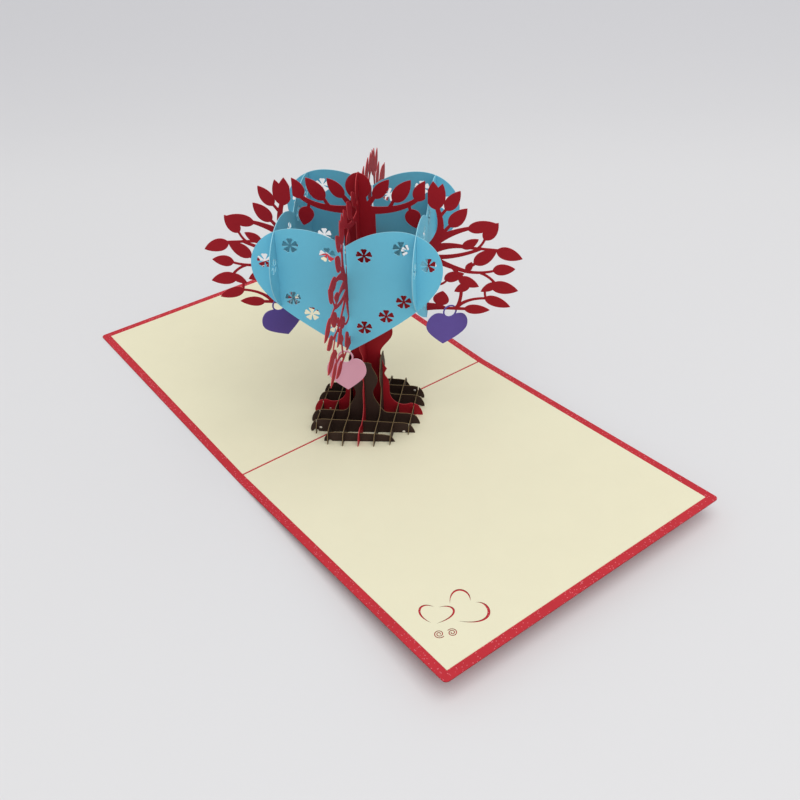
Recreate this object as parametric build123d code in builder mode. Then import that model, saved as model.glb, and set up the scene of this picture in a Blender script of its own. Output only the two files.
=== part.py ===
"""Pop-up card: a folded cover with two pages glued in, and a paper tree that stands on the fold.

The tree is an interlocking lattice of flat card. Two sets of upright slices cross each other: set A
runs from left to right, set B from front to back, and each crossing is a half lap. Slices of set A
are slotted from above and slices of set B from below, so the two sets slide together. The middle
slice of each set is a whole tree, the ribs beside it make the roots, and four hearts hang round the
crown. Small heart charms swing by paper rings from the lowest twigs.

Millimetres, +Z up. The origin is the middle of the fold, on the surface that the card lies on. The
back half (-X) lies flat and the front half (+X) springs up a little.
"""

import os
from math import cos, pi, radians, sin, tan

from build123d import *

os.makedirs("parts", exist_ok=True)

# Card
card_side = 150.0  # length of the fold, and width of each half
cover_thickness = 0.4
cover_corner_radius = 2.0
page_thickness = 0.25
page_rim = 4.0  # cover showing round the pages
page_fold_gap = 0.55  # from the fold line to the edge of each page
front_lift = 4.0  # degrees that the front half springs up

# Lattice
sheet = 0.3  # thickness of the slices, hearts and charms
slot_clearance = 0.1  # spare width of a slot
heart_slot_clearance = 0.6  # the slots that take the hearts are looser
lap_clearance = 0.1  # spare depth of a half lap
half_angle = 43.0  # degrees between each set of slices and the fold
rib_pitch = 7.4  # spacing of the slices, measured along the slices of the other set
rib_height = 8.2
outer_rib_height = 6.6
rib_dome_height = 37.0  # the first ribs rise as the sides of the trunk, with a waist and a bulb
rib_shoulder_height = 11.6  # height of a first rib where its neighbour crosses it
rib_flare = 4.2  # from that crossing out to where the first rib levels off
rib_waist = (4.2, 20.0)
rib_bulb_height = 27.5
rib_bulb_inset = 0.8  # the bulb stays this far inside the neighbour's crossing
rib_cap = (3.9, 35.4)
toe_overhangs = {0: 4.4, 1: 4.2, 2: 3.0, 3: 2.2}  # reach of each slice past its last crossing
toe_tuck = 0.6  # a toe's tip stands this far past its foot
toe_rise = 6.0  # from a toe's tip back to the full height of its slice
toe_shoulder = 1.3  # from a toe's tip back to its round shoulder
toe_arch_radius = 1.35
toe_arch_inset = 2.6  # from a toe's tip to the middle of its arch
slot_overrun = 2.0  # slots are cut this far past the top of what they open

# Tree
tree_height = 127.4
tree_lap = 63.0  # height where the two trees meet in their half lap
root_height = 8.8
root_swell = 0.3  # the roots rise this much again towards the trunk
crotch_height = 51.5  # where the lowest boughs leave the trunk
trunk_half_width = 6.9

# Hearts
heart_offset = 28.5  # from the middle of the lattice, along the slices of the other set
heart_half_width = 39.3
heart_tip = 58.2
heart_waist = 98.5
heart_cleft = 108.5
heart_crest = 115.7
flower_radius = 3.4
flower_places = [(0.19, 0.805), (0.57, 0.87), (0.85, 0.745), (0.59, 0.44), (0.40, 0.313), (0.16, 0.209)]

# Charms
twig_place = 39.0  # where a charm hangs, drawn for a heart line of 28.5
twig_height = 63.6
twig_thickness = 1.4
purple_half_width = 10.0
pink_half_width = 8.4
charm_drop = 14.0  # from the cleft to the tip
charm_rise = 2.1  # from the cleft to the top of the lobes
ring_bore_radius = 2.6
ring_strip = 0.7
ring_clearance = 0.3  # between the top of the twig and the ring
charm_turns = {"right": 24.0, "left": 30.0, "front": -83.6, "back": 72.0}  # degrees from its slice
charm_tilts = {"right": -11.0, "left": 10.0, "front": 1.0, "back": -4.0}  # degrees that it hangs askew

# Cut-out on the front page
motif_inset = (24.0, 23.0)  # from the outer corner to the middle of the motif
spiral_line = 0.35

# Worked out from the above
lift = radians(front_lift)
crossing = radians(2 * half_angle)
slot_width = sheet / sin(crossing) + sheet / tan(crossing) + slot_clearance
foot = -2.0  # slices are drawn down to here, then cut level with the pages
direction_a = Vector(sin(radians(half_angle)), cos(radians(half_angle)), 0)
direction_b = Vector(-sin(radians(half_angle)), cos(radians(half_angle)), 0)
heart_lap = (heart_tip + heart_cleft) / 2
heart_side_lap = heart_waist - 2.0
page_stack = cover_thickness + page_thickness
front_half = Plane(origin=(0, 0, 0), x_dir=(cos(lift), 0, sin(lift)), z_dir=(-sin(lift), 0, cos(lift)))
back_page_top = Plane.XY.offset(page_stack)
front_page_top = front_half.offset(page_stack)


def finish(part, name):
    """Name a piece and write its file."""
    part.label = name
    export_step(part, f"parts/{name}.step")


def upright(direction, place, tilt=0.0):
    """Return the plane that a sheet is drawn on: x along the sheet, y up, the sheet's middle at place."""
    normal = direction.cross(Vector(0, 0, 1))
    along = direction.rotate(Axis((0, 0, 0), normal), tilt)
    return Plane(origin=place - normal * (sheet / 2), x_dir=along, z_dir=normal)


def plane_a(offset):
    """Return the plane of a slice of set A, moved towards the front by offset."""
    return upright(direction_a, direction_b * -offset)


def plane_b(offset):
    """Return the plane of a slice of set B, moved to the right by offset."""
    return upright(direction_b, direction_a * offset)


def slot(place, low, high):
    """Cut a slot in the sketch that is being drawn."""
    with Locations((place, (low + high) / 2)):
        Rectangle(slot_width, high - low, mode=Mode.SUBTRACT)


def heart_slot(place, low, high):
    """Cut one of a tree's slots for a heart."""
    with Locations((place, (low + high) / 2)):
        Rectangle(slot_width + heart_slot_clearance, high - low, mode=Mode.SUBTRACT)


def lap_slot(place, lap, top, from_above):
    """Cut one half of a half lap, open at the top or at the bottom."""
    if from_above:
        slot(place, lap - lap_clearance / 2, top)
    else:
        slot(place, foot, lap + lap_clearance / 2)


def stand_on_pages():
    """Cut the part that is being made level with both pages."""
    split(bisect_by=back_page_top, keep=Keep.TOP)
    split(bisect_by=front_page_top, keep=Keep.TOP)


# Cover: one sheet, creased along the fold
mitre = cover_thickness * tan(lift / 2)
front_edge = Vector(card_side * cos(lift), card_side * sin(lift))
sheet_normal = Vector(-sin(lift), cos(lift)) * cover_thickness
with BuildPart() as cover:
    with BuildSketch(Plane.XZ):
        with BuildLine():
            Polyline(
                (-card_side, 0),
                (0, 0),
                front_edge,
                front_edge + sheet_normal,
                (-mitre, cover_thickness),
                (-card_side, cover_thickness),
                close=True,
            )
        make_face()
    extrude(amount=card_side / 2, both=True)
    corners = cover.edges().filter_by(lambda edge: edge.length < 1.5 * cover_thickness)
    fillet(corners, radius=cover_corner_radius)
finish(cover.part, "cover")

# Pages
page_width = card_side - page_rim - page_fold_gap
page_length = card_side - 2 * page_rim
page_middle = page_fold_gap + page_width / 2


def motif_stroke(start, first, second, end, width):
    """Draw a stroke that swells between two points, round two handles."""
    start, first, second, end = Vector(*start), Vector(*first), Vector(*second), Vector(*end)
    first_side = (second - start).normalized().rotate(Axis.Z, 90) * (width * 2 / 3)
    second_side = (end - first).normalized().rotate(Axis.Z, 90) * (width * 2 / 3)
    with BuildLine() as outline:
        Bezier(start, first + first_side, second + second_side, end)
        Bezier(start, first - first_side, second - second_side, end)
    make_face(outline.edges())


def motif_spiral(middle, radius, turns, start_angle):
    """Draw a thin spiral line that opens outwards."""
    steps = 8 * turns
    edges = []
    for side in (-spiral_line / 2, spiral_line / 2):
        edge = []
        for step in range(steps + 1):
            angle = start_angle + 2 * pi * step / 8
            distance = spiral_line + (radius - spiral_line) * step / steps + side
            edge.append((middle[0] + distance * cos(angle), middle[1] + distance * sin(angle)))
        edges.append(edge)
    with BuildLine() as outline:
        inner = Spline(*edges[0])
        outer = Spline(*edges[1])
        Line(inner @ 0, outer @ 0)
        Line(inner @ 1, outer @ 1)
    make_face(outline.edges())


motif_middle = (card_side - motif_inset[0], -card_side / 2 + motif_inset[1])
heart_strokes = [
    ((0.5, 8.8), (-5.0, 13.5), (-11.5, 8.0), (-3.6, 2.0), 1.35),
    ((2.2, 9.6), (4.8, 15.5), (18.5, 8.5), (4.6, -1.6), 1.5),
    ((-5.0, -2.6), (-2.4, 4.4), (4.2, 1.4), (0.8, -8.2), 1.25),
    ((-6.0, -3.6), (-12.4, -5.6), (-9.0, -12.6), (-0.6, -9.4), 1.25),
]
with BuildPart() as back_page:
    with BuildSketch(Plane.XY.offset(cover_thickness)):
        with Locations((-page_middle, 0)):
            Rectangle(page_width, page_length)
    extrude(amount=page_thickness)
finish(back_page.part, "back_page")

with BuildPart() as front_page:
    with BuildSketch(front_half.offset(cover_thickness)):
        with Locations((page_middle, 0)):
            Rectangle(page_width, page_length)
    extrude(amount=page_thickness)
    motif_plane = front_half.offset(cover_thickness).shift_origin(
        front_half.offset(cover_thickness).from_local_coords((motif_middle[0], motif_middle[1], 0))
    )
    with BuildSketch(motif_plane):
        for stroke in heart_strokes:
            motif_stroke(*stroke)
        motif_spiral((8.0, -6.5), 1.9, 2, radians(200))
        motif_spiral((5.4, -10.6), 2.0, 2, radians(20))
    extrude(amount=page_thickness, mode=Mode.SUBTRACT)
finish(front_page.part, "front_page")


# Ribs: the roots, two sets of three on each side of the tree
def reach(index):
    """Return the half length of a slice of the base, by its place from the middle."""
    crossings = 2 if index == 3 else 3
    return crossings * rib_pitch + toe_overhangs[index]


def lap_height(index, other):
    """Return the height of the half lap where two slices of the base cross."""
    low, high = sorted((index, other))
    if high == 0:
        return tree_lap
    if high == 1:
        return rib_dome_height / 2 if low == 0 else rib_shoulder_height / 2
    return (outer_rib_height if high == 3 else rib_height) / 2


def base_slots(index, from_above):
    """Cut a slice's half laps with the slices of the other set."""
    for other in range(-3, 4):
        place = abs(other)
        if (index == 0 and place == 0) or index + place > 5:
            continue
        if index == 0 and place > 1:
            top = root_height
        else:
            top = rib_dome_height if index <= 1 else rib_height
        lap_slot(other * rib_pitch, lap_height(index, place), top + slot_overrun, from_above)


def toe(length, height):
    """Draw a root's toe, from the page round the tip to the top, in the line being drawn."""
    Spline(
        (length - toe_tuck, foot),
        (length, 0.3 * height),
        (length - toe_shoulder, 0.72 * height),
        (length - toe_rise, height),
        tangents=[(0.1, 1), (-1, 0.1)],
    )


def toe_arches(length):
    """Lift each toe off the page behind its tip."""
    place = length - toe_arch_inset
    with Locations((place, page_stack), (-place, page_stack)):
        Circle(toe_arch_radius, mode=Mode.SUBTRACT)


def rib_sketch(index):
    """Draw a rib's outline: the first ribs have the domed sides of the trunk."""
    length = reach(index)
    height = outer_rib_height if index == 3 else rib_height
    with BuildLine() as outline:
        Line((0, foot), (length - toe_tuck, foot))
        toe(length, height)
        if index == 1:
            Line((length - toe_rise, height), (rib_pitch + rib_flare, height))
            Spline(
                (rib_pitch + rib_flare, height),
                (rib_pitch, rib_shoulder_height),
                rib_waist,
                (rib_pitch - rib_bulb_inset, rib_bulb_height),
                rib_cap,
                (0, rib_dome_height),
                tangents=[(-1, 0), (-1, 0)],
            )
        else:
            Line((length - toe_rise, height), (0, height))
        mirror(about=Plane.YZ)
    make_face(outline.edges())
    toe_arches(length)


for set_name, plane_of, from_above in (("a", plane_a, True), ("b", plane_b, False)):
    for index in (1, 2, 3):
        for side_name, side in (("plus", 1), ("minus", -1)):
            with BuildPart() as rib:
                with BuildSketch(plane_of(side * index * rib_pitch)):
                    rib_sketch(index)
                    base_slots(index, from_above)
                extrude(amount=sheet)
                stand_on_pages()
            finish(rib.part, f"root_rib_{set_name}_{side_name}_{index}")

# Crown: drawn for a heart line 28.5 out, and stretched to the real one
drawn_heart_line = 28.5
stretch = (heart_offset - trunk_half_width) / (drawn_heart_line - trunk_half_width)

leaves = [
    ((6.3, 116.0), (13.0, 124.6), 5.6),
    ((14.6, 114.6), (22.0, 124.6), 6.6),
    ((24.4, 115.2), (28.0, 124.4), 6.4),
    ((32.0, 111.8), (31.2, 124.4), 6.4),
    ((32.6, 111.8), (35.2, 123.4), 5.6),
    ((36.6, 111.4), (42.6, 120.4), 5.8),
    ((38.2, 104.0), (45.6, 112.6), 6.4),
    ((21.8, 111.6), (24.2, 102.8), 7.0),
    ((45.8, 103.0), (58.4, 105.8), 5.8),
    ((53.0, 98.2), (58.8, 106.4), 5.8),
    ((43.8, 94.0), (50.8, 98.4), 4.4),
    ((58.4, 93.4), (69.8, 89.6), 6.2),
    ((49.0, 86.4), (58.8, 93.8), 6.4),
    ((57.2, 83.6), (67.0, 84.6), 5.6),
    ((56.6, 76.2), (68.8, 73.8), 6.4),
    ((59.5, 77.2), (52.4, 72.8), 4.0),
    ((36.2, 78.4), (45.0, 81.6), 5.2),
    ((42.4, 79.2), (51.6, 75.2), 5.2),
    ((47.5, 76.2), (40.8, 72.4), 4.4),
    ((54.2, 69.8), (65.8, 65.4), 5.2),
    ((45.2, 63.6), (56.8, 63.4), 5.0),
    ((34.4, 65.0), (35.8, 72.4), 7.4),
    ((46.0, 82.8), (48.2, 87.4), 3.2),
]
twigs = [
    ((4.0, 110.6), (21.0, 110.2), (27.2, 119.0), 3.6, 1.8),
    ((12.5, 111.4), (13.6, 113.0), (15.6, 117.0), 1.7, 1.2),
    ((2.5, 111.5), (5.0, 114.2), (7.6, 118.4), 3.0, 1.4),
    ((21.2, 113.4), (21.4, 112.0), (22.0, 109.0), 1.3, 1.3),
    ((36.0, twig_height), (41.0, twig_height), (47.0, twig_height), twig_thickness, twig_thickness),
    ((33.6, 98.0), (35.8, 106.0), (32.4, 114.0), 3.6, 1.8),
    ((34.4, 108.8), (35.8, 110.8), (37.8, 113.2), 1.4, 1.1),
    ((34.6, 100.0), (37.0, 102.6), (39.4, 105.8), 1.8, 1.2),
    ((32.5, 97.0), (39.0, 101.8), (48.0, 103.8), 4.0, 1.4),
    ((50.4, 94.0), (52.8, 96.2), (53.8, 100.0), 1.1, 1.1),
    ((31.0, 93.0), (38.0, 96.2), (46.0, 94.4), 4.4, 1.4),
    ((44.0, 94.4), (51.0, 94.0), (60.0, 93.4), 1.3, 1.1),
    ((30.5, 89.4), (41.0, 88.8), (52.0, 94.0), 2.4, 1.3),
    ((30.5, 89.0), (38.0, 84.8), (46.4, 82.6), 3.2, 1.5),
    ((45.0, 82.8), (52.0, 81.4), (58.8, 83.7), 1.5, 1.0),
    ((52.0, 82.1), (56.0, 80.8), (59.0, 76.6), 1.2, 1.2),
    ((47.4, 85.2), (49.0, 86.2), (51.5, 88.2), 1.5, 1.2),
    ((29.5, 75.6), (37.2, 74.8), (37.8, 79.6), 1.6, 1.1),
    ((40.4, 84.0), (42.0, 81.4), (44.4, 78.6), 1.8, 1.4),
    ((43.8, 74.0), (44.2, 69.0), (42.0, 63.8), 1.5, 1.6),
    ((41.8, 64.0), (46.4, 69.8), (56.5, 69.4), 1.8, 1.1),
    ((54.4, 74.2), (54.0, 71.8), (54.8, 69.6), 1.2, 1.0),
]


def crown(point):
    """Return a drawn point of the crown, stretched to the real heart line."""
    across, height = point
    if across > trunk_half_width:
        across = trunk_half_width + (across - trunk_half_width) * stretch
    return Vector(across, height)


def leaf(base, tip, width):
    """Draw a pointed leaf, fuller towards its base."""
    base, tip = crown(base), crown(tip)
    along = tip - base
    across = along.normalized().rotate(Axis.Z, 90) * width
    with BuildLine() as outline:
        for side in (across, -across):
            Bezier(base, base + along * 0.15 + side * 0.72, tip - along * 0.32 + side * 0.56, tip)
    make_face(outline.edges())


def twig(start, handle, end, start_width, end_width):
    """Draw a twig that tapers along a curve, with round ends."""
    start, handle, end = crown(start), crown(handle), crown(end)
    first = (handle - start).normalized().rotate(Axis.Z, 90) * (start_width / 2)
    last = (end - handle).normalized().rotate(Axis.Z, 90) * (end_width / 2)
    middle = (first + last) / 2
    with BuildLine() as outline:
        left = Bezier(start + first, handle + middle, end + last)
        right = Bezier(start - first, handle - middle, end - last)
        Line(left @ 0, right @ 0)
        Line(left @ 1, right @ 1)
    make_face(outline.edges())
    with Locations(end):
        Circle(end_width / 2)


def crown_spline(*points):
    """Draw a smooth stretch of the crown's outline."""
    return Spline(*[crown(point) for point in points])


def tree_half_outline():
    """Draw the right half of the roots, trunk and boughs, from the foot to the top bud."""
    length = reach(0)
    root_side = (rib_pitch + 3.7, 12.4)
    hip = (rib_pitch + 3.2, 17.0)
    side = (rib_pitch + 1.5, 24.5)
    knot = [(rib_pitch + 0.9, 26.0), (rib_pitch + 2.3, 28.8), (rib_pitch + 1.0, 30.6)]
    waist = (trunk_half_width, crotch_height - 15.0)
    crotch = (12.6, crotch_height)
    bough_low = (twig_place - 2.0, twig_height - twig_thickness / 2)
    bough_high = (twig_place - 2.0, twig_height + twig_thickness / 2)
    Line((0, foot), (length - toe_tuck, foot))
    toe(length, root_height)
    root_top = (length - toe_rise, root_height)
    swell = (2 * rib_pitch - 1.2, root_height + root_swell)
    Spline(root_top, swell, root_side, hip, side)
    Polyline(side, *knot, waist)
    crown_spline(waist, (7.3, crotch_height - 11.7), (9.8, crotch_height - 8.0), crotch)
    crown_spline(crotch, (16.8, 56.2), (22.5, 60.2), (30.0, 62.3), bough_low)
    Line(crown(bough_low), crown(bough_high))
    crown_spline(bough_high, (34.0, 65.6), (28.0, 66.2), (23.2, 69.0))
    crown_spline((23.2, 69.0), (28.5, 74.5), (31.3, 80.0), (32.3, 88.0))
    crown_spline((32.3, 88.0), (32.6, 93.0), (34.2, 98.5), (35.4, 104.0))
    Line(crown((35.4, 104.0)), crown((33.2, 104.0)))
    crown_spline((33.2, 104.0), (31.5, 99.0), (27.5, 93.5), (20.0, 86.8), (12.0, 82.8), (trunk_half_width, 82.0))
    Line((trunk_half_width, 82.0), (trunk_half_width, 112.0))
    Spline((trunk_half_width, 112.0), (4.2, 113.5), (3.2, 116.5))
    Bezier((3.2, 116.5), (7.6, 121.0), (4.6, tree_height - 0.4), (0, tree_height))


with BuildSketch() as tree_outline:
    with BuildLine():
        tree_half_outline()
        Line((0, tree_height), (0, foot))
    make_face()
    for blade in leaves:
        leaf(*blade)
    for stem in twigs:
        twig(*stem)
    mirror(about=Plane.YZ)
    toe_arches(reach(0))

# Trees: the left-to-right tree is slotted from above, the front-to-back tree from below
with BuildPart() as tree_across:
    with BuildSketch(plane_a(0)):
        add(tree_outline.sketch)
        base_slots(0, from_above=True)
        lap_slot(0, tree_lap, tree_height + 1, from_above=True)
        for side in (-1, 1):
            heart_slot(side * heart_offset, heart_lap - lap_clearance / 2, tree_height)
    extrude(amount=sheet)
    stand_on_pages()
finish(tree_across.part, "tree_across")

with BuildPart() as tree_along:
    with BuildSketch(plane_b(0)):
        add(tree_outline.sketch)
        base_slots(0, from_above=False)
        lap_slot(0, tree_lap, tree_height, from_above=False)
        for side in (-1, 1):
            heart_slot(side * heart_offset, crotch_height, heart_lap + lap_clearance / 2)
    extrude(amount=sheet)
    stand_on_pages()
finish(tree_along.part, "tree_along")


# Hearts and charms
def heart(half_width, tip, waist, cleft, crest):
    """Draw a heart about x = 0, from the heights of its tip, widest place, cleft and lobes."""
    lobe = 0.53 * half_width
    with BuildLine() as outline:
        Bezier(
            (0, cleft),
            (0.13 * half_width, cleft + 0.5 * (crest - cleft)),
            (0.3 * half_width, crest),
            (lobe, crest),
        )
        Bezier(
            (lobe, crest),
            (0.8 * half_width, crest),
            (half_width, waist + 0.55 * (crest - waist)),
            (half_width, waist),
        )
        Bezier(
            (half_width, waist),
            (half_width, waist - 0.3 * (waist - tip)),
            (0.69 * half_width, tip + 0.43 * (waist - tip)),
            (0, tip),
        )
        mirror(about=Plane.YZ)
    make_face(outline.edges())


def cut_flowers():
    """Cut the five-petalled flowers out of the heart that is being drawn."""
    height = heart_crest - heart_tip
    places = [(side * u * heart_half_width, heart_tip + v * height) for u, v in flower_places for side in (-1, 1)]
    petal_end = (0.8 * flower_radius, 0.4 * flower_radius)
    petal_root = (0, 0.03 * flower_radius)
    with BuildSketch(mode=Mode.PRIVATE) as petal:
        with BuildLine() as outline:
            Line(petal_end, petal_root)
            ThreePointArc(petal_end, (0.95 * flower_radius, 0.2 * flower_radius), (0.9 * flower_radius, 0))
            Line(petal_root, (0, 0))
            mirror(about=Plane.XZ)
        make_face(outline.edges())
    with BuildSketch(mode=Mode.PRIVATE) as flower:
        Circle(0.2 * flower_radius)
        with PolarLocations(0, 5, start_angle=90):
            add(petal.sketch)
    with Locations(*places):
        add(flower.sketch, mode=Mode.SUBTRACT)


with BuildSketch() as heart_blank:
    heart(heart_half_width, heart_tip, heart_waist, heart_cleft, heart_crest)
    cut_flowers()

for name, plane, from_above in (
    ("heart_front", plane_a(heart_offset), True),
    ("heart_back", plane_a(-heart_offset), True),
    ("heart_right", plane_b(heart_offset), False),
    ("heart_left", plane_b(-heart_offset), False),
):
    with BuildPart() as big_heart:
        with BuildSketch(plane):
            add(heart_blank.sketch)
            lap_slot(0, heart_lap, heart_crest, from_above)
            for side in (-1, 1):
                lap_slot(side * heart_offset, heart_side_lap, heart_crest, from_above)
        extrude(amount=sheet)
    finish(big_heart.part, name)

ring_middle = twig_height + twig_thickness / 2 + ring_clearance - ring_bore_radius
charm_cleft = -ring_bore_radius - 0.6 * ring_strip  # charms are drawn from the middle of their rings
hang = crown((twig_place, twig_height)).X
for name, along, side, half_width in (
    ("right", direction_a, 1, purple_half_width),
    ("left", direction_a, -1, purple_half_width),
    ("front", direction_b, -1, pink_half_width),
    ("back", direction_b, 1, pink_half_width),
):
    hook = along * (side * hang) + Vector(0, 0, ring_middle)
    charm_plane = upright(along.rotate(Axis.Z, charm_turns[name]), hook, charm_tilts[name])
    with BuildPart() as charm:
        with BuildSketch(charm_plane):
            heart(
                half_width,
                charm_cleft - charm_drop,
                charm_cleft - 0.28 * charm_drop,
                charm_cleft,
                charm_cleft + charm_rise,
            )
            Circle(ring_bore_radius + ring_strip)
            Circle(ring_bore_radius, mode=Mode.SUBTRACT)
        extrude(amount=sheet)
    finish(charm.part, f"charm_{name}")
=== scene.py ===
"""Looks of the pop-up card: its card stocks, its drops of glue, and a plain studio round it.

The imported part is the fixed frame. Its sheets keep their shape and are dressed here: glittering
card for the cover, ivory paper for the pages, matt dyed card for the tree, the hearts and the charms.
Metres, in the part's own frame: the fold lies along Y, and the tree stands on the middle of it.
"""

import logging
import math
from dataclasses import dataclass, field
from enum import Enum
from typing import Any, Union

import bpy
from mathutils import Matrix, Vector


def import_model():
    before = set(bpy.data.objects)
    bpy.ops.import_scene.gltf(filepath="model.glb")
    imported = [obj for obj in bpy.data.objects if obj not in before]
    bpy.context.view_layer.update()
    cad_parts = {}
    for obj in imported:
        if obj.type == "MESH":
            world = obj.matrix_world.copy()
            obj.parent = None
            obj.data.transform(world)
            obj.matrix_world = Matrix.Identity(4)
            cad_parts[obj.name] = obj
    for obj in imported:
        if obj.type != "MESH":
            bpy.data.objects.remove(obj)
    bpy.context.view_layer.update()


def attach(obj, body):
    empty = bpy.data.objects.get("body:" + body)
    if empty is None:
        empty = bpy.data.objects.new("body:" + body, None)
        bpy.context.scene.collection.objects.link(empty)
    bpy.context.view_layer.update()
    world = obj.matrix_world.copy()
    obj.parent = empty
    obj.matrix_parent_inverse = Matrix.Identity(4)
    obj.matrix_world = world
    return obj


LOG = logging.getLogger("pop_up_card")
MM = 0.001
HALF_ANGLE = math.radians(43)  # between each set of slices and the fold
RIB_PITCH = 7.4 * MM
SHEET = 0.3 * MM  # thickness of the slices
UP = Vector((0, 0, 1))
ALONG_A = Vector((math.sin(HALF_ANGLE), math.cos(HALF_ANGLE), 0))
ALONG_B = Vector((-math.sin(HALF_ANGLE), math.cos(HALF_ANGLE), 0))

CUT_WALL = (0.45, 0.75)  # how squarely a surface faces, from a cut edge to the face of its sheet
CLOUD_WAVES = 70  # cloudy patches in a metre of card
FIBRE_WAVES = 2600  # fibres in a metre of card
FIBRE_DEPTH = 0.02 * MM
SPECK_RADIUS = 0.42  # of a speck of glitter, as a share of its cell

Rgb = tuple[int, int, int]
Feed = Union["Signal", float, tuple, bpy.types.NodeSocket]


def linear(colour: Rgb) -> tuple[float, float, float, float]:
    """Turn a screen colour into a shader's colour.

    Args:
        colour: Red, green and blue, from 0 to 255.

    Returns:
        The linear colour, with an alpha of 1.
    """
    parts = [part / 255 for part in colour]
    return (*[part / 12.92 if part <= 0.04045 else ((part + 0.055) / 1.055) ** 2.4 for part in parts], 1.0)


class Facing(Enum):
    """Which way a flat sheet faces, as the direction square to it."""

    LEVEL = (0.0, 0.0, 1.0)
    SET_A = tuple(ALONG_A.cross(UP))
    SET_B = tuple(ALONG_B.cross(UP))

    @staticmethod
    def turned(along: Vector, degrees: float) -> tuple[float, float, float]:
        """Return the direction square to an upright sheet that is turned from a slice.

        Args:
            along: The direction of the slice.
            degrees: The turn from it, about the upright axis.

        Returns:
            The direction square to the sheet.
        """
        return tuple((Matrix.Rotation(math.radians(degrees), 3, "Z") @ along).cross(UP))


class Signal:
    """A shader socket that Python expressions can work on."""

    def __init__(self, net: "ShaderNet", socket: bpy.types.NodeSocket) -> None:
        """Wrap one output socket of a net."""
        self.net = net
        self.socket = socket

    def _math(self, operation: str, first: Feed, second: Feed) -> "Signal":
        """Add a Math node and return its result."""
        return self.net.node("ShaderNodeMath", {"operation": operation}, {0: first, 1: second})["Value"]

    def __add__(self, other: Feed) -> "Signal":
        """Return the sum."""
        return self._math("ADD", self, other)

    __radd__ = __add__

    def __sub__(self, other: Feed) -> "Signal":
        """Return the difference."""
        return self._math("SUBTRACT", self, other)

    def __rsub__(self, other: Feed) -> "Signal":
        """Return the difference from a number."""
        return self._math("SUBTRACT", other, self)

    def __mul__(self, other: Feed) -> "Signal":
        """Return the product."""
        return self._math("MULTIPLY", self, other)

    __rmul__ = __mul__

    def __abs__(self) -> "Signal":
        """Return the size without the sign."""
        return self._math("ABSOLUTE", self, 0.0)

    def __lt__(self, other: Feed) -> "Signal":
        """Return 1 where it is less, and 0 elsewhere."""
        return self._math("LESS_THAN", self, other)

    def __gt__(self, other: Feed) -> "Signal":
        """Return 1 where it is more, and 0 elsewhere."""
        return self._math("GREATER_THAN", self, other)

    def step(self, low: float, high: float) -> "Signal":
        """Return a soft step.

        Args:
            low: Where the step starts, at 0.
            high: Where it ends, at 1.

        Returns:
            The stepped signal.
        """
        settings = {"interpolation_type": "SMOOTHSTEP"}
        inputs = {"Value": self, "From Min": low, "From Max": high}
        return self.net.node("ShaderNodeMapRange", settings, inputs)["Result"]


class Outputs:
    """The output sockets of one node, by name."""

    def __init__(self, net: "ShaderNet", node: bpy.types.Node) -> None:
        """Keep the node and its net."""
        self.net = net
        self.node = node

    def __getitem__(self, name: str) -> Signal:
        """Return one output as a signal."""
        return Signal(self.net, next(out for out in self.node.outputs if out.name == name and out.enabled))


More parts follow.
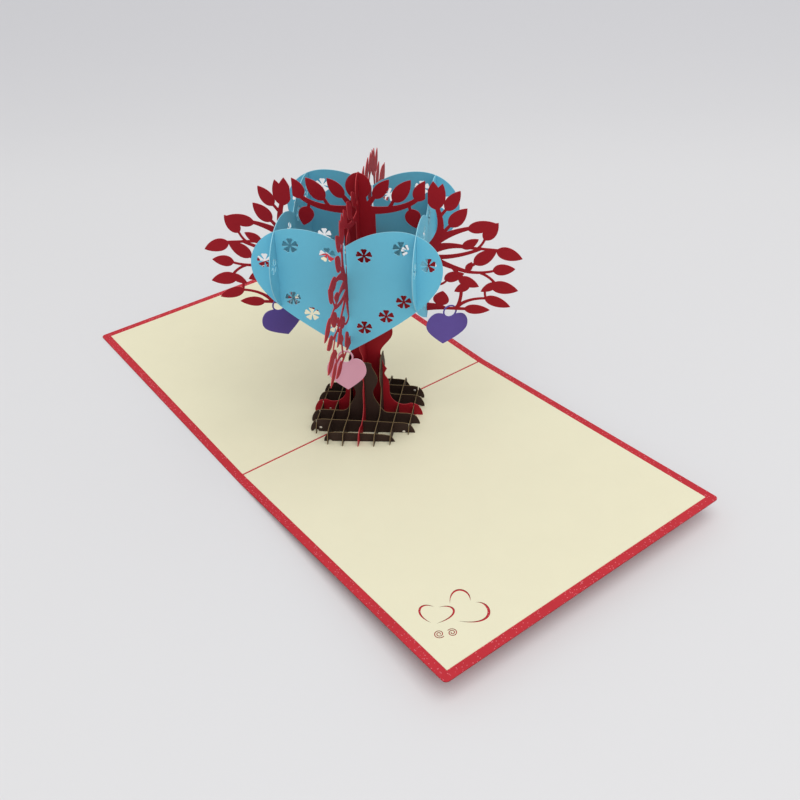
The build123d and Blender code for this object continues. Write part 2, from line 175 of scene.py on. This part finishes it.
class ShaderNet:
    """A material that is built from nodes."""

    def __init__(self, name: str) -> None:
        """Make an empty material of that name."""
        self.material = bpy.data.materials.new(name)
        self.material.use_nodes = True
        self.tree = self.material.node_tree
        self.tree.nodes.clear()

    def node(self, kind: str, settings: dict[str, Any], inputs: dict[Any, Feed]) -> Outputs:
        """Add a node.

        Args:
            kind: The node's type.
            settings: Its settings, which are set first.
            inputs: The values or links of its sockets, by name or place.

        Returns:
            The node's outputs.
        """
        made = self.tree.nodes.new(kind)
        for name, value in settings.items():
            setattr(made, name, value)
        for name, value in inputs.items():
            if isinstance(name, int):
                socket = made.inputs[name]
            else:
                socket = next(put for put in made.inputs if put.name == name and put.enabled)
            if isinstance(value, Signal):
                self.tree.links.new(value.socket, socket)
            else:
                socket.default_value = value
        return Outputs(self, made)

    def place(self) -> Signal:
        """Return the place on the object."""
        return self.node("ShaderNodeTexCoord", {}, {})["Object"]

    def facing(self, direction: tuple[float, float, float]) -> Signal:
        """Return how squarely the surface faces along a direction, from 0 to 1."""
        normal = self.node("ShaderNodeTexCoord", {}, {})["Normal"]
        inputs = {0: normal, 1: direction}
        return abs(self.node("ShaderNodeVectorMath", {"operation": "DOT_PRODUCT"}, inputs)["Value"])

    def cut_wall(self, facing: tuple[float, float, float]) -> Signal:
        """Return 1 on the cut edges of a sheet that faces along a direction, and 0 on its faces."""
        return 1 - self.facing(facing).step(*CUT_WALL)

    def near(self, centre: tuple[float, float, float], radius: float) -> Signal:
        """Return 1 within a radius of a point, and 0 outside it."""
        inputs = {0: self.place(), 1: centre}
        return self.node("ShaderNodeVectorMath", {"operation": "DISTANCE"}, inputs)["Value"] < radius

    def noise(self, where: Signal, scale: float, detail: float) -> Signal:
        """Return soft noise from 0 to 1, with that many waves in a metre."""
        inputs = {"Vector": where, "Scale": scale, "Detail": detail, "Roughness": 0.6}
        return self.node("ShaderNodeTexNoise", {}, inputs)["Fac"]

    def mix(self, factor: Feed, first: Feed, second: Feed, blend: str = "MIX") -> Signal:
        """Mix two colours.

        Args:
            factor: How much of the second colour shows.
            first: The colour at a factor of 0.
            second: The colour at a factor of 1.
            blend: The way that the second colour is laid over the first.

        Returns:
            The mixed colour.
        """
        settings = {"data_type": "RGBA", "blend_type": blend}
        return self.node("ShaderNodeMix", settings, {"Factor": factor, "A": first, "B": second})["Result"]

    def bump(self, height: Signal, depth: float, strength: float) -> Signal:
        """Return the normal of a bumpy surface, from its height in parts of a depth in metres."""
        inputs = {"Strength": strength, "Distance": depth, "Height": height}
        return self.node("ShaderNodeBump", {}, inputs)["Normal"]

    def surface(self, inputs: dict[str, Feed]) -> bpy.types.Material:
        """Finish the material with a Principled shader.

        Args:
            inputs: The values or links of the shader's sockets.

        Returns:
            The material.
        """
        shader = self.node("ShaderNodeBsdfPrincipled", {}, inputs)["BSDF"]
        self.node("ShaderNodeOutputMaterial", {}, {"Surface": shader})
        return self.material


@dataclass(frozen=True)
class CardStock:
    """A dyed card or paper, cut by laser."""

    name: str
    colour: Rgb
    cut_edge: Rgb  # colour of the cut edges
    shade: float = 0.06  # how much darker its cloudy patches are
    roughness: float = 0.55
    grain: float = 0.35  # depth of its fibres, as a share of the full bump
    gloss: float = 0.15  # strength of its mirror reflection
    specks: float = 0.0  # share of the small cells that hold a speck of glitter
    speck_colour: Rgb = (255, 255, 255)
    speck_size: float = 0.55 * MM

    def dress(self, name: str, facing: tuple[float, float, float]) -> bpy.types.Material:
        """Make the material of a sheet.

        Args:
            name: What the material is for.
            facing: The direction square to the sheet.

        Returns:
            The material.
        """
        net = ShaderNet(f"{self.name} {name}")
        edge = net.cut_wall(facing)
        base, rough, metal, height = self.face(net)
        base = net.mix(edge, base, linear(self.cut_edge))
        inputs = {
            "Base Color": base,
            "Roughness": rough + edge * 0.2,
            "Normal": net.bump(height, FIBRE_DEPTH, self.grain),
            "Specular IOR Level": self.gloss,
        }
        if self.specks:
            inputs["Metallic"] = metal
        return net.surface(inputs)

    def face(self, net: ShaderNet) -> tuple[Signal, Signal, Signal, Signal]:
        """Draw the face of the sheet.

        Args:
            net: The material being built.

        Returns:
            Its colour, roughness, metal share and height.
        """
        clouds = net.noise(net.place(), CLOUD_WAVES, 3)
        fibres = net.noise(net.place(), FIBRE_WAVES, 4)
        patches = clouds.step(0.3, 0.75) * 0.6 + fibres.step(0.35, 0.7) * 0.4
        dark = tuple(part * (1 - 2.4 * self.shade) for part in linear(self.colour)[:3]) + (1.0,)
        base = net.mix(patches, linear(self.colour), dark)
        rough = fibres * 0.12 + (self.roughness - 0.06)
        if not self.specks:
            return base, rough, fibres, fibres
        cells = net.node("ShaderNodeTexVoronoi", {}, {"Vector": net.place(), "Scale": 1 / self.speck_size})
        luck = net.node("ShaderNodeSeparateColor", {}, {"Color": cells["Color"]})["Red"]
        speck = (luck > 1 - self.specks) * (cells["Distance"] < SPECK_RADIUS)
        base = net.mix(speck, base, linear(self.speck_colour))
        return base, rough - speck * 0.25, speck * 0.55, fibres + speck * 0.8


COVER_CARD = CardStock(
    "glitter_card", (194, 48, 58), (158, 36, 44), 0.06, 0.55, 0.5, specks=0.12, speck_colour=(240, 130, 140)
)
PAGE_PAPER = CardStock("ivory_paper", (230, 225, 196), (236, 228, 202), 0.01, 0.75, 0.2)
SCORCHED = (134, 88, 62)
TREE_CARD = CardStock("red_card", (158, 22, 34), (186, 66, 70), 0.05, 0.6, 0.35)
ROOT_CARD = CardStock("brown_card", (58, 41, 35), (128, 108, 76), 0.07, 0.6, 0.5)
HEART_CARD = CardStock("blue_card", (110, 196, 224), (150, 206, 222), 0.02, 0.6, 0.3)
PURPLE_CARD = CardStock("purple_card", (98, 80, 158), (146, 132, 190), 0.04, 0.55, 0.35)
PINK_CARD = CardStock("pink_card", (212, 155, 174), (232, 194, 204), 0.03, 0.55, 0.35)


def paint(name: str, material: bpy.types.Material) -> None:
    """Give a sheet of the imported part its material.

    Args:
        name: The sheet's node.
        material: Its new material.
    """
    sheet = bpy.data.objects[name]
    sheet.data.materials.clear()
    sheet.data.materials.append(material)
    LOG.info("%s: %s", name, material.name)


@dataclass
class Folder:
    """The cover and its two pages."""

    motif_centre: tuple[float, float, float] = (125.7 * MM, -52 * MM, 9.2 * MM)
    motif_reach: float = 19 * MM

    def dress(self) -> None:
        """Paint the cover and the pages."""
        paint("cover", COVER_CARD.dress("cover", Facing.LEVEL.value))
        paint("back_page", PAGE_PAPER.dress("back", Facing.LEVEL.value))
        paint("front_page", self.cut_page())

    def cut_page(self) -> bpy.types.Material:
        """Make the front page's paper, scorched on the walls of its cut-out."""
        net = ShaderNet("ivory_paper front")
        edge = net.cut_wall(Facing.LEVEL.value)
        base, rough, _, height = PAGE_PAPER.face(net)
        cut = edge * net.near(self.motif_centre, self.motif_reach)
        base = net.mix(edge, base, linear(PAGE_PAPER.cut_edge))
        base = net.mix(cut, base, linear(SCORCHED))
        normal = net.bump(height, FIBRE_DEPTH, PAGE_PAPER.grain)
        return net.surface({"Base Color": base, "Roughness": rough, "Normal": normal})


@dataclass
class Tree:
    """The two trees and the ribs of the roots."""

    ribs: int = 3

    def dress(self) -> None:
        """Paint the trees and the ribs."""
        paint("tree_across", TREE_CARD.dress("across", Facing.SET_A.value))
        paint("tree_along", TREE_CARD.dress("along", Facing.SET_B.value))
        for letter, facing in (("a", Facing.SET_A), ("b", Facing.SET_B)):
            stock = ROOT_CARD.dress(f"set {letter}", facing.value)
            for side in ("plus", "minus"):
                for place in range(1, self.ribs + 1):
                    paint(f"root_rib_{letter}_{side}_{place}", stock)


@dataclass
class Hearts:
    """The four large hearts round the crown."""

    def dress(self) -> None:
        """Paint the hearts."""
        across = HEART_CARD.dress("across", Facing.SET_A.value)
        along = HEART_CARD.dress("along", Facing.SET_B.value)
        for name, stock in (("front", across), ("back", across), ("right", along), ("left", along)):
            paint(f"heart_{name}", stock)


@dataclass
class Charms:
    """The four small hearts on rings."""

    turns: dict[str, float] = field(
        default_factory=lambda: {"right": 24.0, "left": 30.0, "front": -83.6, "back": 72.0}
    )

    def dress(self) -> None:
        """Paint the charms, each by the way that it hangs."""
        for name, turn in self.turns.items():
            across = name in ("right", "left")
            stock = PURPLE_CARD if across else PINK_CARD
            facing = Facing.turned(ALONG_A if across else ALONG_B, turn)
            paint(f"charm_{name}", stock.dress(name, facing))


@dataclass(frozen=True)
class GlueDrop:
    """A drop of glue on a slice of set A: its name, place and size."""

    name: str
    offset: float  # of the slice, towards the front
    along: float
    height: float
    radius: float


@dataclass
class Glue:
    """Set drops of clear glue where the ribs are stuck."""

    drops: tuple[GlueDrop, ...] = (
        GlueDrop("glue_front_left", 2 * RIB_PITCH, -20.3 * MM, 3.1 * MM, 0.62 * MM),
        GlueDrop("glue_front_right", 2 * RIB_PITCH, 19.8 * MM, 3.0 * MM, 0.66 * MM),
        GlueDrop("glue_back_right", -2 * RIB_PITCH, 20.4 * MM, 5.6 * MM, 0.55 * MM),
        GlueDrop("glue_tree_left", 0.0, -18.9 * MM, 3.4 * MM, 0.45 * MM),
    )
    stretch: tuple[float, float, float] = (1.12, 0.9, 0.42)  # of a ball, to the low oval of a drop
    smooth_angle: float = 50.0

    def build(self) -> None:
        """Model the drops and put them on the card."""
        material = self.material()
        for drop in self.drops:
            piece = self.model(drop)
            piece.data.materials.append(material)
            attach(piece, "card")
            LOG.info("%s: %s", piece.name, material.name)

    def model(self, drop: GlueDrop) -> bpy.types.Object:
        """Model one drop, a low dome with a flat back.

        Args:
            drop: Its place and size.

        Returns:
            The drop, with its place in its mesh.
        """
        square = ALONG_A.cross(UP)
        place = ALONG_B * -drop.offset + ALONG_A * drop.along + UP * drop.height + square * (SHEET / 2)
        bpy.ops.object.select_all(action="DESELECT")
        bpy.ops.mesh.primitive_uv_sphere_add(segments=24, ring_count=14, radius=drop.radius)
        piece = bpy.context.object
        piece.name = drop.name
        bpy.ops.object.mode_set(mode="EDIT")
        bpy.ops.mesh.select_all(action="SELECT")
        bpy.ops.mesh.bisect(plane_co=(0, 0, 0), plane_no=UP, use_fill=True, clear_inner=True)
        bpy.ops.mesh.select_all(action="SELECT")
        bpy.ops.transform.resize(value=self.stretch, center_override=(0, 0, 0))
        bpy.ops.mesh.normals_make_consistent(inside=False)
        bpy.ops.object.mode_set(mode="OBJECT")
        bpy.ops.object.shade_smooth_by_angle(angle=math.radians(self.smooth_angle))
        turn = square.to_track_quat("Z", "Y").to_matrix().to_4x4()
        piece.data.transform(Matrix.Translation(place) @ turn)
        return piece

    def material(self) -> bpy.types.Material:
        """Make the set glue: milky, glossy and a little cloudy."""
        net = ShaderNet("set_glue")
        clouds = net.noise(net.place(), 1500, 2)
        base = net.mix(clouds, linear((226, 222, 210)), linear((196, 186, 172)))
        normal = net.bump(clouds, 0.05 * MM, 0.5)
        return net.surface({"Base Color": base, "Roughness": clouds * 0.15 + 0.12, "Normal": normal})


@dataclass
class Studio:
    """The floor, the backdrop, the lamps and the camera."""

    azimuth: float = 53.381
    elevation: float = 37.586
    roll: float = -1.283
    eye: tuple[float, float, float] = (302.7 * MM, -205.7 * MM, 290.4 * MM)
    lens: float = 42.62
    floor_half: float = 1.6
    floor_drop: float = 0.05 * MM
    floor_cuts: int = 60
    wall_start: float = 0.38  # from the fold's middle, away from the camera
    wall_rise: float = 1.1  # how fast the floor curves up, per metre
    key_place: tuple[float, float, float] = (0.3, -0.7, 2.0)  # to the right, away from the camera, and up
    key_power: float = 32.0
    key_size: float = 2.2
    sky: float = 0.6

    def build(self) -> None:
        """Build the whole studio."""
        self.sweep()
        self.light()
        self.camera()

    def away(self) -> Vector:
        """Return the level direction from the camera to the card."""
        angle = math.radians(self.azimuth)
        return Vector((-math.sin(angle), math.cos(angle), 0))

    def sweep(self) -> None:
        """Model the floor, which curves up into the backdrop behind the card."""
        bpy.ops.object.select_all(action="DESELECT")
        bpy.ops.mesh.primitive_plane_add(size=2 * self.floor_half)
        floor = bpy.context.object
        floor.name = "floor"
        bpy.ops.object.mode_set(mode="EDIT")
        bpy.ops.mesh.select_all(action="SELECT")
        bpy.ops.mesh.subdivide(number_cuts=self.floor_cuts)
        bpy.ops.object.mode_set(mode="OBJECT")
        turn = Matrix.Rotation(math.radians(self.azimuth), 4, "Z")
        for vertex in floor.data.vertices:
            behind = max(0.0, vertex.co.y - self.wall_start)
            vertex.co.z = self.wall_rise * behind * behind - self.floor_drop
        floor.data.transform(turn)
        bpy.ops.object.shade_smooth()
        floor.data.materials.append(self.floor_material())

    def floor_material(self) -> bpy.types.Material:
        """Make the pale floor, with painted shade that darkens it towards the back and up the backdrop."""
        net = ShaderNet("pale_floor")
        away = self.away()
        inputs = {0: net.place(), 1: tuple(away)}
        depth = net.node("ShaderNodeVectorMath", {"operation": "DOT_PRODUCT"}, inputs)["Value"]
        # painted shade: the floor and backdrop are coloured darker towards the back, where the light falls
        # off
        back = depth.step(0.25, 0.62)
        base = net.mix(back, linear((218, 218, 220)), linear((202, 202, 206)))
        return net.surface({"Base Color": base, "Roughness": net.noise(net.place(), 30, 2) * 0.1 + 0.75})

    def lamp(self, name: str, place: Vector, power: float, size: float, colour: Rgb) -> None:
        """Add a soft square lamp that shines on the tree.

        Args:
            name: The lamp's name.
            place: Where it hangs.
            power: Its power, in watts.
            size: The length of its side.
            colour: Its screen colour.
        """
        data = bpy.data.lights.new(name, "AREA")
        data.energy = power
        data.size = size
        data.color = linear(colour)[:3]
        lamp = bpy.data.objects.new(name, data)
        lamp.location = place
        lamp.rotation_mode = "QUATERNION"
        lamp.rotation_quaternion = (Vector((0, 0, 0.05)) - place).to_track_quat("-Z", "Y")
        bpy.context.scene.collection.objects.link(lamp)

    def light(self) -> None:
        """Hang the lamps and set the sky."""
        right = self.away().cross(UP)
        across, away, up = self.key_place
        place = right * across + self.away() * away + UP * up
        self.lamp("key", place, self.key_power, self.key_size, (255, 253, 250))
        world = bpy.data.worlds.new("studio")
        world.use_nodes = True
        sky = world.node_tree.nodes["Background"]
        sky.inputs["Color"].default_value = (0.98, 0.99, 1.0, 1.0)
        sky.inputs["Strength"].default_value = self.sky
        bpy.context.scene.world = world
        bpy.context.scene.view_settings.view_transform = "Standard"

    def camera(self) -> None:
        """Place the camera."""
        azimuth, elevation, roll = (math.radians(x) for x in (self.azimuth, self.elevation, self.roll))
        level = math.cos(elevation)
        back = Vector((math.sin(azimuth) * level, -math.cos(azimuth) * level, math.sin(elevation)))
        right = UP.cross(back).normalized()
        upward = back.cross(right)
        tilted = right * math.cos(roll) + upward * math.sin(roll)
        upright = upward * math.cos(roll) - right * math.sin(roll)
        data = bpy.data.cameras.new("camera")
        data.lens = self.lens
        data.sensor_width = 36.0
        data.clip_start = 0.01
        camera = bpy.data.objects.new("camera", data)
        turn = Matrix((tilted, upright, back)).transposed().to_4x4()
        camera.matrix_world = Matrix.Translation(self.eye) @ turn
        bpy.context.scene.collection.objects.link(camera)
        bpy.context.scene.camera = camera


def main() -> None:
    """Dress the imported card, add its glue, and build the studio."""
    logging.basicConfig(level=logging.INFO, format="%(name)s %(message)s")
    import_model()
    for assembly in (Folder(), Tree(), Hearts(), Charms()):
        assembly.dress()
    Glue().build()
    Studio().build()


if __name__ == "__main__":
    main()
